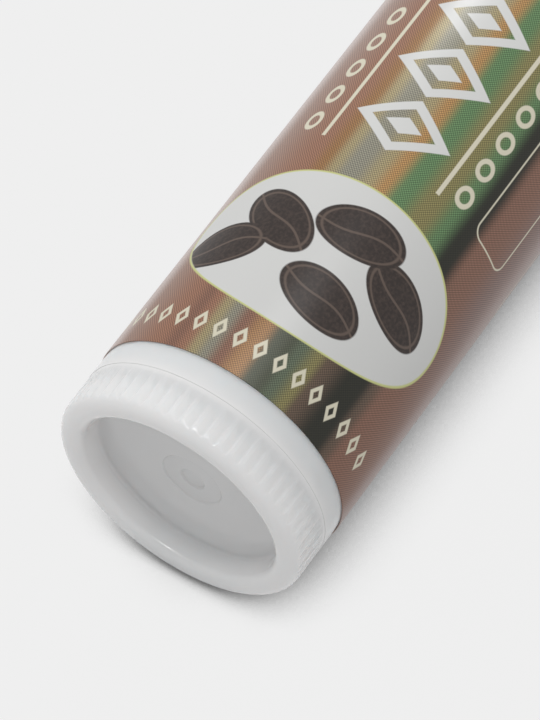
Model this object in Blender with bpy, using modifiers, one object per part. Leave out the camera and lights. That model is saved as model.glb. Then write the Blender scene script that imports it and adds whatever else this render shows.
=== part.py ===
"""Twist-up lip balm stick, lying on its side with its cap on.

Metres, +Z up. The stick's axis runs along X, from the twist wheel at -X to the cap at +X, and the
origin is on the surface that the stick lies on, under the middle of its length. A station is a
distance along the axis from the wheel's end face. Every piece is a closed solid modelled about its
own Z axis, which the empty that carries it lays along X.
"""

import math

import bmesh
import bpy
from mathutils import Matrix, Vector

# Whole stick
STICK_LENGTH = 0.0675
STICK_RADIUS = 0.0080
PARTING_GAP = 0.00012
SEAM_GAP = 0.00015

# Wrap label, torn at the seam between barrel and cap
LABEL_THICKNESS = 0.00008
LABEL_ADHESIVE = 0.00002
LABEL_SEAM_INSET = 0.0001
LABEL_END_INSET = 0.0016

# Twist wheel, moulded in one with its hub, spindle and thread
WHEEL_INSET = 0.00002
WHEEL_HEIGHT = 0.00287
WHEEL_END_ROUND = 0.00082
WHEEL_TOP_ROUND = 0.0001
BOSS_HEIGHT = 0.0009
RIM_WIDTH = 0.00143
RECESS_DRAFT = 0.00016
RECESS_DEPTH = 0.00168
RECESS_LIP_ROUND = 0.00028
RECESS_FLOOR_ROUND = 0.0003
GATE_RING_RADIUS = 0.00195
GATE_RING_DEPTH = 0.00008
GATE_DIMPLE_RADIUS = 0.0008
GATE_DIMPLE_DEPTH = 0.0001

# Grip flutes round the wheel
FLUTE_COUNT = 62
FLUTE_WIDTH = 0.00044
FLUTE_DEPTH = 0.00014
FLUTE_RAMP = 0.0008
FLUTE_TOP_LAND = 0.00005

# Hub that snaps through the barrel's web
HUB_RIB_SPACE = 0.0012
HUB_CLEARANCE = 0.00012
SNAP_BEAD_HEIGHT = 0.0004
SNAP_BEAD_LENGTH = 0.0005
SNAP_LEAD_IN = 0.0004

# Spindle and thread
SPINDLE_RADIUS = 0.0020
SPINDLE_TOP_INSET = 0.0080
SPINDLE_CHAMFER = 0.0004
THREAD_LEAD = 0.0040
THREAD_TOP_INSET = 0.0020
THREAD_START_LIFT = 0.0010
THREAD_HEIGHT = 0.0008
THREAD_CREST_WIDTH = 0.0007
THREAD_ROOT_WIDTH = 0.0016
THREAD_ROOT_SINK = 0.0003

# Barrel
COLLAR_HEIGHT = 0.00156
COLLAR_WALL = 0.0011
NECK_STEP = 0.00095
NECK_WALL = 0.00075
NECK_LENGTH = 0.0145
MOUTH_ROUND = 0.0002
SHOULDER_CHAMFER = 0.00015
COLLAR_ROUND = 0.00035
WEB_CLEARANCE = 0.0003
WEB_THICKNESS = 0.0012
NECK_BEAD_HEIGHT = 0.00006
NECK_BEAD_LENGTH = 0.0006
NECK_BEAD_INSET = 0.0016

# Lengthwise ribs in the bore, which keep the carrier from turning
RIB_COUNT = 4
RIB_WIDTH = 0.0009
RIB_HEIGHT = 0.0005
RIB_SINK = 0.0003
RIB_TOP_INSET = 0.0025

# Carrier, a cup round a threaded nut
CARRIER_CLEARANCE = 0.0002
CARRIER_HEIGHT = 0.0066
CARRIER_FLOOR = 0.0009
CARRIER_WALL = 0.0006
CARRIER_LIFT = 0.0003
NUT_WALL = 0.00075
NUT_HEIGHT = 0.0060
NUT_CLEARANCE = 0.0002

# Balm, cast round the nut and spindle
BALM_CLEARANCE = 0.0001
BALM_SHOULDER = 0.0001
BALM_DOME_HEIGHT = 0.0014
BALM_EDGE_ROUND = 0.0006

# Cap
CAP_LENGTH = 0.0240
CAP_CLEARANCE = 0.00005
CAP_END_THICKNESS = 0.0012
CAP_END_ROUND = 0.0007
CAP_INNER_ROUND = 0.0005

# Facets and modelling
ROUND_SEGMENTS = 48
SPINDLE_SEGMENTS = 24
ARC_STEPS = 4
CUT_OVERRUN = 0.0005
MERGE_DISTANCE = 0.0000005
SMOOTH_ANGLE = math.radians(30)

# Sizes that follow from those above
BODY_RADIUS = STICK_RADIUS - LABEL_THICKNESS - LABEL_ADHESIVE
WHEEL_RADIUS = BODY_RADIUS - WHEEL_INSET
RECESS_MOUTH_RADIUS = WHEEL_RADIUS - RIM_WIDTH
RECESS_FLOOR_RADIUS = RECESS_MOUTH_RADIUS - RECESS_DRAFT
COUNTERBORE_RADIUS = BODY_RADIUS - COLLAR_WALL
NECK_RADIUS = BODY_RADIUS - NECK_STEP
BORE_RADIUS = NECK_RADIUS - NECK_WALL
RIB_INSIDE = BORE_RADIUS - RIB_HEIGHT
HUB_RADIUS = RIB_INSIDE - HUB_RIB_SPACE - SNAP_BEAD_HEIGHT
THREAD_CREST_RADIUS = SPINDLE_RADIUS + THREAD_HEIGHT
NUT_RADIUS = THREAD_CREST_RADIUS + NUT_CLEARANCE + NUT_WALL
SEAM_STATION = STICK_LENGTH - CAP_LENGTH
MOUTH_STATION = SEAM_STATION + NECK_LENGTH
COLLAR_STATION = WHEEL_HEIGHT + PARTING_GAP
LABEL_START = COLLAR_STATION + COLLAR_HEIGHT
BOSS_RADIUS = COUNTERBORE_RADIUS - WEB_CLEARANCE
BOSS_TOP = WHEEL_HEIGHT + BOSS_HEIGHT
WEB_BOTTOM = BOSS_TOP + WEB_CLEARANCE
WEB_TOP = WEB_BOTTOM + WEB_THICKNESS
SNAP_BEAD_BOTTOM = WEB_TOP + HUB_CLEARANCE
HUB_TOP = SNAP_BEAD_BOTTOM + SNAP_BEAD_LENGTH + SNAP_LEAD_IN
SPINDLE_TOP = MOUTH_STATION - SPINDLE_TOP_INSET
THREAD_START = HUB_TOP + THREAD_START_LIFT
THREAD_TURNS = round((SPINDLE_TOP - THREAD_TOP_INSET - THREAD_START) / THREAD_LEAD)
CARRIER_BOTTOM = HUB_TOP + CARRIER_LIFT
CARRIER_TOP = CARRIER_BOTTOM + CARRIER_HEIGHT
CARRIER_RADIUS = BORE_RADIUS - CARRIER_CLEARANCE
CARRIER_INSIDE = CARRIER_RADIUS - CARRIER_WALL
NUT_TOP = CARRIER_BOTTOM + NUT_HEIGHT
RIB_TOP = MOUTH_STATION - RIB_TOP_INSET
CAP_INSIDE = NECK_RADIUS + NECK_BEAD_HEIGHT + CAP_CLEARANCE
CAP_START = SEAM_STATION + SEAM_GAP
CAP_LABEL_END = STICK_LENGTH - LABEL_END_INSET
AXIS_HEIGHT = STICK_RADIUS * math.cos(math.pi / ROUND_SEGMENTS)


def clear_scene():
    """Remove what the scene holds and give back collections for the parts and the cutters."""
    for obj in list(bpy.data.objects):
        bpy.data.objects.remove(obj)
    parts = bpy.data.collections.new("lip_balm_stick")
    cutters = bpy.data.collections.new("cutters")
    bpy.context.scene.collection.children.link(parts)
    bpy.context.scene.collection.children.link(cutters)
    return parts, cutters


def plastic(name, colour, roughness, metallic=0.0):
    """A Principled material for one piece."""
    material = bpy.data.materials.new(name)
    material.use_nodes = True
    shader = material.node_tree.nodes["Principled BSDF"]
    shader.inputs["Base Color"].default_value = (*colour, 1.0)
    shader.inputs["Roughness"].default_value = roughness
    shader.inputs["Metallic"].default_value = metallic
    return material


def arc(centre_radius, centre_station, size, start_degrees, end_degrees):
    """Outline points round an arc; 0 degrees is outward and 90 degrees is towards the cap."""
    points = []
    for step in range(ARC_STEPS + 1):
        angle = math.radians(start_degrees + (end_degrees - start_degrees) * step / ARC_STEPS)
        points.append((centre_radius + size * math.cos(angle), centre_station + size * math.sin(angle)))
    return points


def turned(name, outline, segments, closed):
    """Turn (radius, station) points about Z; the outline runs down the outer side."""
    mesh = bpy.data.meshes.new(name)
    edges = [(index, index + 1) for index in range(len(outline) - 1)]
    if closed:
        edges.append((len(outline) - 1, 0))
    mesh.from_pydata([(radius, 0, station) for radius, station in outline], edges, [])
    obj = bpy.data.objects.new(name, mesh)
    screw = obj.modifiers.new("turn", "SCREW")
    screw.steps = segments
    screw.render_steps = segments
    screw.use_merge_vertices = True
    screw.merge_threshold = MERGE_DISTANCE
    return obj


def as_piece(obj, carrier, collection, material):
    """Put a finished piece in its collection, dress it and lay it along the stick's axis."""
    collection.objects.link(obj)
    obj.data.materials.append(material)
    obj.parent = carrier
    obj.data.shade_smooth()
    obj.data.set_sharp_from_angle(angle=SMOOTH_ANGLE)
    return obj


def as_cutter(obj, carrier, collection):
    """Keep a Boolean's second shape out of the finished part."""
    collection.objects.link(obj)
    obj.parent = carrier
    obj.hide_render = True
    obj.display_type = "WIRE"
    return obj


def combine(obj, other, operation):
    """Add a live Boolean modifier."""
    modifier = obj.modifiers.new(other.name, "BOOLEAN")
    modifier.operation = operation
    modifier.solver = "EXACT"
    modifier.object = other


def repeated_round_axis(name, bm, count):
    """Copy a bmesh evenly round Z and give the copies back as one object."""
    step = Matrix.Rotation(2 * math.pi / count, 3, "Z")
    newest = list(bm.verts) + list(bm.edges) + list(bm.faces)
    for _ in range(count - 1):
        newest = bmesh.ops.duplicate(bm, geom=newest)["geom"]
        verts = [item for item in newest if isinstance(item, bmesh.types.BMVert)]
        bmesh.ops.rotate(bm, cent=(0, 0, 0), matrix=step, verts=verts)
    mesh = bpy.data.meshes.new(name)
    bm.to_mesh(mesh)
    bm.free()
    return bpy.data.objects.new(name, mesh)


def radial_bars(name, inner, outer, width, bottom, top, count):
    """Upright square bars round the axis, from an inner to an outer radius."""
    bm = bmesh.new()
    bmesh.ops.create_cube(bm, size=1)
    bmesh.ops.scale(bm, vec=(outer - inner, width, top - bottom), verts=bm.verts)
    bmesh.ops.translate(bm, vec=((inner + outer) / 2, 0, (bottom + top) / 2), verts=bm.verts)
    return repeated_round_axis(name, bm, count)


def flute_bars():
    """V bars that cut the flutes; each upper end slopes out to the surface, the lower end runs on."""
    slope = FLUTE_WIDTH / 2 / FLUTE_DEPTH
    ramp_slope = FLUTE_RAMP / FLUTE_DEPTH
    overrun = FLUTE_DEPTH
    reach = FLUTE_DEPTH + overrun
    top = WHEEL_HEIGHT - WHEEL_TOP_ROUND - FLUTE_TOP_LAND
    bm = bmesh.new()
    bmesh.ops.create_cone(bm, cap_ends=True, segments=4, radius1=1, radius2=1, depth=1)
    bmesh.ops.scale(bm, vec=(reach, reach * slope, top + 2 * CUT_OVERRUN), verts=bm.verts)
    bmesh.ops.translate(bm, vec=(WHEEL_RADIUS + overrun, 0, top / 2), verts=bm.verts)
    for vert in bm.verts:
        if vert.co.z > top / 2:
            vert.co.z = top + (vert.co.x - WHEEL_RADIUS) * ramp_slope
    mid_facet = Matrix.Rotation(math.pi / FLUTE_COUNT, 3, "Z")
    bmesh.ops.rotate(bm, cent=(0, 0, 0), matrix=mid_facet, verts=bm.verts)
    return repeated_round_axis("flute_bars", bm, FLUTE_COUNT)


def thread_ridge(name, crest_radius, crest_width, root_width, start, turns):
    """A right-hand helical ridge of trapezoid section with closed ends."""
    root_radius = SPINDLE_RADIUS - THREAD_ROOT_SINK
    section = [
        (root_radius, start + root_width / 2),
        (crest_radius, start + crest_width / 2),
        (crest_radius, start - crest_width / 2),
        (root_radius, start - root_width / 2),
    ]
    guide = turned(name + "_guide", section, SPINDLE_SEGMENTS, closed=True)
    screw = guide.modifiers["turn"]
    screw.use_merge_vertices = False
    screw.screw_offset = THREAD_LEAD
    screw.iterations = turns
    bpy.context.scene.collection.objects.link(guide)
    evaluated = guide.evaluated_get(bpy.context.evaluated_depsgraph_get())
    mesh = bpy.data.meshes.new_from_object(evaluated)
    bpy.data.objects.remove(guide)
    bm = bmesh.new()
    bm.from_mesh(mesh)
    ends = [edge for edge in bm.edges if edge.is_boundary]
    bmesh.ops.holes_fill(bm, edges=ends, sides=len(section))
    bmesh.ops.recalc_face_normals(bm, faces=bm.faces)
    bm.to_mesh(mesh)
    bm.free()
    return bpy.data.objects.new(name, mesh)


def wheel_outline():
    """Fluted wheel with a rounded end, a shallow recess and a boss towards the barrel."""
    end_ring = WHEEL_RADIUS - WHEEL_END_ROUND
    lip = RECESS_MOUTH_RADIUS + RECESS_LIP_ROUND
    floor = RECESS_FLOOR_RADIUS - RECESS_FLOOR_ROUND
    ring_floor = RECESS_DEPTH + GATE_RING_DEPTH
    return [
        (0, BOSS_TOP),
        (BOSS_RADIUS, BOSS_TOP),
        (BOSS_RADIUS, WHEEL_HEIGHT),
        (WHEEL_RADIUS - WHEEL_TOP_ROUND, WHEEL_HEIGHT),
        (WHEEL_RADIUS, WHEEL_HEIGHT - WHEEL_TOP_ROUND),
        *arc(end_ring, WHEEL_END_ROUND, WHEEL_END_ROUND, 0, -90),
        *arc(lip, RECESS_LIP_ROUND, RECESS_LIP_ROUND, 270, 180),
        (RECESS_FLOOR_RADIUS, RECESS_DEPTH - RECESS_FLOOR_ROUND),
        (floor, RECESS_DEPTH),
        (GATE_RING_RADIUS, RECESS_DEPTH),
        (GATE_RING_RADIUS - GATE_RING_DEPTH, ring_floor),
        (GATE_DIMPLE_RADIUS, ring_floor),
        (GATE_DIMPLE_RADIUS - GATE_DIMPLE_DEPTH, ring_floor + GATE_DIMPLE_DEPTH),
        (0, ring_floor + GATE_DIMPLE_DEPTH),
    ]


def spindle_outline():
    """Round spindle on the hub, whose bead snaps past the barrel's web."""
    bead_radius = HUB_RADIUS + SNAP_BEAD_HEIGHT
    return [
        (0, SPINDLE_TOP),
        (SPINDLE_RADIUS - SPINDLE_CHAMFER, SPINDLE_TOP),
        (SPINDLE_RADIUS, SPINDLE_TOP - SPINDLE_CHAMFER),
        (SPINDLE_RADIUS, HUB_TOP),
        (HUB_RADIUS, HUB_TOP),
        (bead_radius, HUB_TOP - SNAP_LEAD_IN),
        (bead_radius, SNAP_BEAD_BOTTOM),
        (HUB_RADIUS, SNAP_BEAD_BOTTOM),
        (HUB_RADIUS, BOSS_TOP - BOSS_HEIGHT / 2),
        (0, BOSS_TOP - BOSS_HEIGHT / 2),
    ]


def make_twist_wheel(carrier, parts, cutters):
    """Wheel, hub, spindle and thread as one moulding."""
    wheel = turned("twist_wheel", wheel_outline(), FLUTE_COUNT, closed=False)
    as_piece(wheel, carrier, parts, plastic("wheel_plastic", (0.80, 0.80, 0.80), 0.32))
    flutes = as_cutter(flute_bars(), carrier, cutters)
    spindle = turned("spindle_core", spindle_outline(), SPINDLE_SEGMENTS, closed=False)
    as_cutter(spindle, carrier, cutters)
    thread = thread_ridge(
        "spindle_thread",
        THREAD_CREST_RADIUS,
        THREAD_CREST_WIDTH,
        THREAD_ROOT_WIDTH,
        THREAD_START,
        THREAD_TURNS,
    )
    as_cutter(thread, carrier, cutters)
    combine(wheel, flutes, "DIFFERENCE")
    combine(wheel, spindle, "UNION")
    combine(wheel, thread, "UNION")
    return wheel


def neck_bead(station):
    """Outline points of one low friction bead that the cap grips."""
    half = NECK_BEAD_LENGTH / 2
    return [
        (NECK_RADIUS, station + half),
        (NECK_RADIUS + NECK_BEAD_HEIGHT, station),
        (NECK_RADIUS, station - half),
    ]


def barrel_outline():
    """Barrel wall with the cap's neck above the seam and the web that holds the hub."""
    hole_radius = HUB_RADIUS + HUB_CLEARANCE
    collar_ring = BODY_RADIUS - COLLAR_ROUND
    return [
        (BORE_RADIUS + MOUTH_ROUND, MOUTH_STATION),
        (NECK_RADIUS - MOUTH_ROUND, MOUTH_STATION),
        (NECK_RADIUS, MOUTH_STATION - MOUTH_ROUND),
        *neck_bead(MOUTH_STATION - NECK_BEAD_INSET),
        *neck_bead(SEAM_STATION + NECK_BEAD_INSET),
        (NECK_RADIUS, SEAM_STATION),
        (BODY_RADIUS - SHOULDER_CHAMFER, SEAM_STATION),
        (BODY_RADIUS, SEAM_STATION - SHOULDER_CHAMFER),
        *arc(collar_ring, COLLAR_STATION + COLLAR_ROUND, COLLAR_ROUND, 0, -90),
        (COUNTERBORE_RADIUS, COLLAR_STATION),
        (COUNTERBORE_RADIUS, WEB_BOTTOM),
        (hole_radius, WEB_BOTTOM),
        (hole_radius, WEB_TOP),
        (BORE_RADIUS, WEB_TOP),
        (BORE_RADIUS, MOUTH_STATION - MOUTH_ROUND),
    ]


def make_barrel(carrier, parts, cutters):
    """Barrel with lengthwise ribs in its bore."""
    barrel = turned("barrel", barrel_outline(), ROUND_SEGMENTS, closed=True)
    as_piece(barrel, carrier, parts, plastic("barrel_plastic", (0.82, 0.82, 0.81), 0.30))
    ribs = radial_bars(
        "bore_ribs",
        BORE_RADIUS - RIB_HEIGHT,
        BORE_RADIUS + RIB_SINK,
        RIB_WIDTH,
        WEB_TOP - RIB_SINK,
        RIB_TOP,
        RIB_COUNT,
    )
    as_cutter(ribs, carrier, cutters)
    combine(barrel, ribs, "UNION")
    return barrel


def carrier_outline():
    """Cup that carries the balm, with a nut standing in its middle."""
    nut_bore = SPINDLE_RADIUS + NUT_CLEARANCE
    floor_top = CARRIER_BOTTOM + CARRIER_FLOOR
    return [
        (CARRIER_INSIDE, CARRIER_TOP),
        (CARRIER_RADIUS, CARRIER_TOP),
        (CARRIER_RADIUS, CARRIER_BOTTOM),
        (nut_bore, CARRIER_BOTTOM),
        (nut_bore, NUT_TOP),
        (NUT_RADIUS, NUT_TOP),
        (NUT_RADIUS, floor_top),
        (CARRIER_INSIDE, floor_top),
    ]


def make_carrier(carrier, parts, cutters):
    """Carrier cup, notched for the barrel's ribs and threaded to ride up the spindle."""
    cup = turned("carrier", carrier_outline(), ROUND_SEGMENTS, closed=True)
    as_piece(cup, carrier, parts, plastic("carrier_plastic", (0.82, 0.82, 0.81), 0.35))
    notches = radial_bars(
        "carrier_notches",
        BORE_RADIUS - RIB_HEIGHT - CARRIER_CLEARANCE,
        BORE_RADIUS + CUT_OVERRUN,
        RIB_WIDTH + 2 * CARRIER_CLEARANCE,
        CARRIER_BOTTOM - CUT_OVERRUN,
        CARRIER_TOP + CUT_OVERRUN,
        RIB_COUNT,
    )
    as_cutter(notches, carrier, cutters)
    turns_below = math.ceil((THREAD_START - CARRIER_BOTTOM) / THREAD_LEAD) + 1
    turns_above = math.ceil((NUT_TOP - THREAD_START) / THREAD_LEAD) + 1
    groove = thread_ridge(
        "nut_thread",
        THREAD_CREST_RADIUS + NUT_CLEARANCE,
        THREAD_CREST_WIDTH + 2 * NUT_CLEARANCE,
        THREAD_ROOT_WIDTH + 2 * NUT_CLEARANCE,
        THREAD_START - turns_below * THREAD_LEAD,
        turns_below + turns_above,
    )
    as_cutter(groove, carrier, cutters)
    combine(cup, notches, "DIFFERENCE")
    combine(cup, groove, "DIFFERENCE")
    return cup


def balm_outline():
    """Balm with a low dome, cast inside the cup and round the nut and spindle."""
    radius = BORE_RADIUS - BALM_CLEARANCE
    edge_ring = radius - BALM_EDGE_ROUND
    dome_radius = (edge_ring**2 + BALM_DOME_HEIGHT**2) / (2 * BALM_DOME_HEIGHT)
    dome_top = MOUTH_STATION + BALM_DOME_HEIGHT
    half_angle = math.degrees(math.asin(edge_ring / dome_radius))
    thread_bore = THREAD_CREST_RADIUS + NUT_CLEARANCE
    cup_floor = CARRIER_BOTTOM + CARRIER_FLOOR + BALM_CLEARANCE
    return [
        *arc(0, dome_top - dome_radius, dome_radius, 90, 90 - half_angle),
        *arc(edge_ring, MOUTH_STATION - BALM_EDGE_ROUND, BALM_EDGE_ROUND, 80, 0),
        (radius, CARRIER_TOP + BALM_SHOULDER),
        (CARRIER_INSIDE - BALM_CLEARANCE, CARRIER_TOP + BALM_SHOULDER),
        (CARRIER_INSIDE - BALM_CLEARANCE, cup_floor),
        (NUT_RADIUS + BALM_CLEARANCE, cup_floor),
        (NUT_RADIUS + BALM_CLEARANCE, NUT_TOP + BALM_CLEARANCE),
        (thread_bore, NUT_TOP + BALM_CLEARANCE),
        (thread_bore, SPINDLE_TOP + BALM_CLEARANCE),
        (0, SPINDLE_TOP + BALM_CLEARANCE),
    ]


def make_balm(carrier, parts, cutters):
    """Balm, grooved where the barrel's ribs run."""
    balm = turned("balm", balm_outline(), ROUND_SEGMENTS, closed=False)
    as_piece(balm, carrier, parts, plastic("balm_wax", (0.88, 0.78, 0.58), 0.45))
    grooves = radial_bars(
        "rib_grooves",
        BORE_RADIUS - RIB_HEIGHT - BALM_CLEARANCE,
        BORE_RADIUS + CUT_OVERRUN,
        RIB_WIDTH + 2 * BALM_CLEARANCE,
        CARRIER_TOP - CUT_OVERRUN,
        RIB_TOP + BALM_CLEARANCE,
        RIB_COUNT,
    )
    as_cutter(grooves, carrier, cutters)
    combine(balm, grooves, "DIFFERENCE")
    return balm


def cap_outline():
    """Round cap with a rounded closed end."""
    end_ring = BODY_RADIUS - CAP_END_ROUND
    inner_end = STICK_LENGTH - CAP_END_THICKNESS
    return [
        (0, STICK_LENGTH),
        *arc(end_ring, STICK_LENGTH - CAP_END_ROUND, CAP_END_ROUND, 90, 0),
        (BODY_RADIUS, CAP_START + SHOULDER_CHAMFER),
        (BODY_RADIUS - SHOULDER_CHAMFER, CAP_START),
        (CAP_INSIDE + SHOULDER_CHAMFER, CAP_START),
        (CAP_INSIDE, CAP_START + SHOULDER_CHAMFER),
        *arc(CAP_INSIDE - CAP_INNER_ROUND, inner_end - CAP_INNER_ROUND, CAP_INNER_ROUND, 0, 90),
        (0, inner_end),
    ]


def make_cap(carrier, parts):
    """Cap that grips the neck's beads."""
    cap = turned("cap", cap_outline(), ROUND_SEGMENTS, closed=False)
    return as_piece(cap, carrier, parts, plastic("cap_plastic", (0.82, 0.82, 0.81), 0.30))


def make_label(name, start, end, carrier, parts):
    """One length of the wrap label."""
    inside = STICK_RADIUS - LABEL_THICKNESS
    outline = [(STICK_RADIUS, end), (STICK_RADIUS, start), (inside, start), (inside, end)]
    label = turned(name, outline, ROUND_SEGMENTS, closed=True)
    return as_piece(label, carrier, parts, plastic(name + "_foil", (0.22, 0.13, 0.09), 0.35, 0.5))


def stick_axis(parts):
    """Empty on the stick's axis at the wheel's end, its Z along world X and a facet facing down."""
    empty = bpy.data.objects.new("stick_axis", None)
    parts.objects.link(empty)
    half_facet = Matrix.Rotation(math.pi / ROUND_SEGMENTS, 4, "Z")
    lay_down = Matrix.Rotation(math.pi / 2, 4, "Y")
    place = Matrix.Translation(Vector((-STICK_LENGTH / 2, 0, AXIS_HEIGHT)))
    empty.matrix_world = place @ lay_down @ half_facet
    return empty


def main():
    """Build the stick."""
    parts, cutters = clear_scene()
    axis = stick_axis(parts)
    make_twist_wheel(axis, parts, cutters)
    make_barrel(axis, parts, cutters)
    make_carrier(axis, parts, cutters)
    make_balm(axis, parts, cutters)
    make_cap(axis, parts)
    make_label("barrel_label", LABEL_START, SEAM_STATION - LABEL_SEAM_INSET, axis, parts)
    make_label("cap_label", CAP_START + LABEL_SEAM_INSET, CAP_LABEL_END, axis, parts)


main()
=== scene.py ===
"""Twist-up lip balm stick lying on a pale ground, with its finished pieces, light and camera.

Metres, +Z up. Each piece is modelled upright about Z, with a station as its height above the
wheel's end face, and is then laid down along X as a whole. On the label, a turn is the angle about
the stick's axis from straight up, positive towards +Y, and an arc is that turn's length on the
surface.
"""

import logging
import math
from dataclasses import dataclass
from enum import Enum
from functools import reduce
from typing import Union

import bmesh
import bpy
from mathutils import Matrix, Vector


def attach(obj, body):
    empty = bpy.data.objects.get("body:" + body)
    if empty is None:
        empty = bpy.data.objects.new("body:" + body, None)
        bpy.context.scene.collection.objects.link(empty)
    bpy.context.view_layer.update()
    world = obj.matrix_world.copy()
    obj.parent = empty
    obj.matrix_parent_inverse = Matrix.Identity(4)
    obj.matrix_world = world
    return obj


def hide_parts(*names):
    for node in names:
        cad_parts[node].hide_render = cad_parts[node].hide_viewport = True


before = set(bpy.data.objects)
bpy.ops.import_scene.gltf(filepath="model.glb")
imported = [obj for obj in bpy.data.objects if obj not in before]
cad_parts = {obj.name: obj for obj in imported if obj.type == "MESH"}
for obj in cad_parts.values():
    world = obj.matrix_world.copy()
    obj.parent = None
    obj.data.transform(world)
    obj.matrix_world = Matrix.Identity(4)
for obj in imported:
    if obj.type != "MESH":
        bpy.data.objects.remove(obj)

LOG = logging.getLogger("lip_balm_stick")

Colour = tuple[float, float, float]
Pair = tuple[float, float]
Socket = bpy.types.NodeSocket
Value = Union[Socket, float, Colour]

STICK_LENGTH = 0.0675
AXIS_HEIGHT = 0.00798287
RIBS = 4
# Turn about Z where the first rib, its groove and the thread start, in radians.
START_TURN = math.pi / 48
# Facets round the barrel, the cap and the label.
ROUND_STEPS = 192
# Usual rounding of a moulded edge.
EDGE_ROUND = 0.0001
MERGE_DISTANCE = 0.0000005
ON_GROUND = Matrix.Translation(Vector((-STICK_LENGTH / 2, 0, AXIS_HEIGHT)))
LAID_DOWN = ON_GROUND @ Matrix.Rotation(math.pi / 2, 4, "Y")


class Body(Enum):
    """The moving groups that pieces ride on."""

    BARREL = "barrel"
    WHEEL = "wheel"
    CARRIER = "carrier"
    CAP = "cap"


@dataclass(frozen=True)
class Corner:
    """One corner of a turned outline, with the radius of its rounding and the facets across it."""

    radius: float
    station: float
    rounding: float = 0.0
    facets: int = 4


@dataclass(frozen=True)
class Placement:
    """Which body a piece rides on, and the solid it stands for with that solid's slot."""

    body: Body
    node: str
    slot: str


def turned(corners: list[Corner], steps: int, closed: bool) -> bmesh.types.BMesh:
    """Turn an outline about Z and round its corners.

    Args:
        corners: Outline corners in order.
        steps: Facets round the axis.
        closed: Whether the outline closes on itself instead of ending on the axis.

    Returns:
        A mesh with its doubles merged and its faces outwards.
    """
    bm = bmesh.new()
    verts = [bm.verts.new((corner.radius, 0, corner.station)) for corner in corners]
    pairs = list(zip(verts, verts[1:]))
    if closed:
        pairs.append((verts[-1], verts[0]))
    edges = [bm.edges.new(pair) for pair in pairs]
    bmesh.ops.spin(
        bm,
        geom=verts + edges,
        cent=(0, 0, 0),
        axis=(0, 0, 1),
        angle=2 * math.pi,
        steps=steps,
        use_merge=True,
    )
    bmesh.ops.remove_doubles(bm, verts=bm.verts, dist=MERGE_DISTANCE)
    bmesh.ops.recalc_face_normals(bm, faces=bm.faces)
    for corner in corners:
        if corner.rounding > 0:
            bmesh.ops.bevel(
                bm,
                geom=ring_edges(bm, corner.radius, corner.station),
                offset=corner.rounding,
                offset_type="OFFSET",
                affect="EDGES",
                segments=corner.facets,
                profile=0.5,
                material=-1,
            )
    return bm


def at_ring(vert: bmesh.types.BMVert, radius: float, station: float) -> bool:
    """Whether a vertex lies on the circle of that radius and station."""
    off_radius = abs(math.hypot(vert.co.x, vert.co.y) - radius)
    return off_radius < 2 * MERGE_DISTANCE and abs(vert.co.z - station) < 2 * MERGE_DISTANCE


def ring_edges(bm: bmesh.types.BMesh, radius: float, station: float) -> list[bmesh.types.BMEdge]:
    """Edges that run along one circle about Z."""
    return [edge for edge in bm.edges if all(at_ring(vert, radius, station) for vert in edge.verts)]


def wall_edges(
    bm: bmesh.types.BMesh, radius: float, bottom: float, top: float
) -> list[bmesh.types.BMEdge]:
    """Find the upright edges of a cylinder wall.

    Args:
        bm: Mesh that has the wall.
        radius: Radius of the wall.
        bottom: Lower station.
        top: Upper station.

    Returns:
        The edges that run from one station to the other.
    """
    found = []
    for edge in bm.edges:
        low, high = sorted(edge.verts, key=lambda vert: vert.co.z)
        if at_ring(low, radius, bottom) and at_ring(high, radius, top):
            found.append(edge)
    return found


def bars_round_axis(
    bm: bmesh.types.BMesh,
    count: int,
    inner: float,
    outer: float,
    width: float,
    bottom: float,
    top: float,
) -> None:
    """Add upright square bars round the axis.

    Args:
        bm: Mesh that receives them.
        count: Number of bars.
        inner: Inner radius.
        outer: Outer radius.
        width: Width of a bar.
        bottom: Lower station.
        top: Upper station.
    """
    for index in range(count):
        verts = bmesh.ops.create_cube(bm, size=1)["verts"]
        bmesh.ops.scale(bm, vec=(outer - inner, width, top - bottom), verts=verts)
        bmesh.ops.translate(bm, vec=((inner + outer) / 2, 0, (bottom + top) / 2), verts=verts)
        turn = Matrix.Rotation(2 * math.pi * index / count + START_TURN, 3, "Z")
        bmesh.ops.rotate(bm, cent=(0, 0, 0), matrix=turn, verts=verts)


def laid_piece(
    name: str,
    bm: bmesh.types.BMesh,
    material: bpy.types.Material,
    placement: Placement,
    sharp_degrees: float = 35,
) -> bpy.types.Object:
    """Lay a finished mesh down along the stick and make it a piece.

    Args:
        name: Name of the piece.
        bm: Its mesh, upright; it is freed.
        material: Its finish.
        placement: What it rides on and stands for.
        sharp_degrees: Angle from which an edge stays sharp.

    Returns:
        The new object.
    """
    bmesh.ops.recalc_face_normals(bm, faces=bm.faces)
    bmesh.ops.transform(bm, matrix=LAID_DOWN, verts=bm.verts)
    mesh = bpy.data.meshes.new(name)
    bm.to_mesh(mesh)
    bm.free()
    mesh.shade_smooth()
    mesh.set_sharp_from_angle(angle=math.radians(sharp_degrees))
    mesh.materials.append(material)
    piece = bpy.data.objects.new(name, mesh)
    bpy.context.scene.collection.objects.link(piece)
    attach(piece, placement.body.value)
    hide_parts(placement.node)
    return piece


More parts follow.
